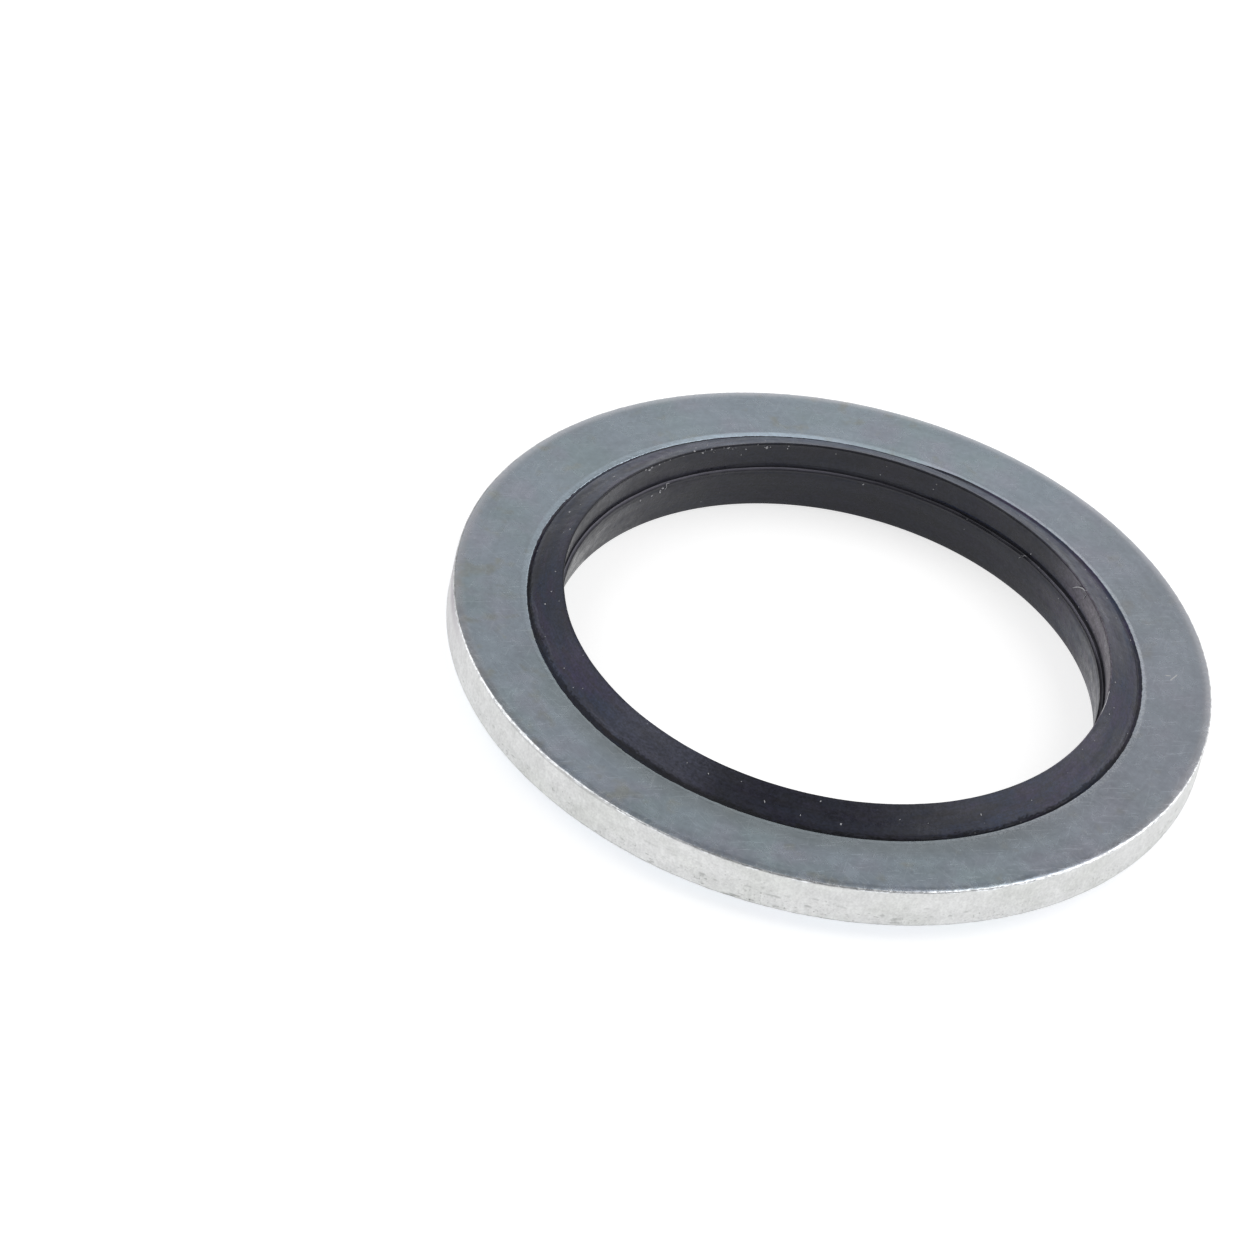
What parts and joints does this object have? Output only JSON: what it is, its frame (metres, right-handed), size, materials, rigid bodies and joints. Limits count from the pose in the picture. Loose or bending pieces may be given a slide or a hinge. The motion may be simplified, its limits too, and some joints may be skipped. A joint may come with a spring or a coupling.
{
  "type": "bonded sealing washer",
  "caption": "Flat steel washer with a rubber sealing ring moulded to its bore, its lips standing proud of both faces, for sealing under a bolt head or union.",
  "frame": {"origin": "on the washer's axis, level with the crest of the lower lip that it rests on", "axes": "+Z along the washer's axis, towards the face with the rolled-over rim"},
  "size_m": [0.026, 0.026, 0.0027],
  "materials": {
    "plated_steel": "zinc plated, satin faces with a rougher stamped rim",
    "seal_rubber": "satin moulded rubber"
  },
  "bodies": {
    "root": {"steel_washer": "plated_steel", "rubber_seal": "seal_rubber"}
  },
  "joints": []
}
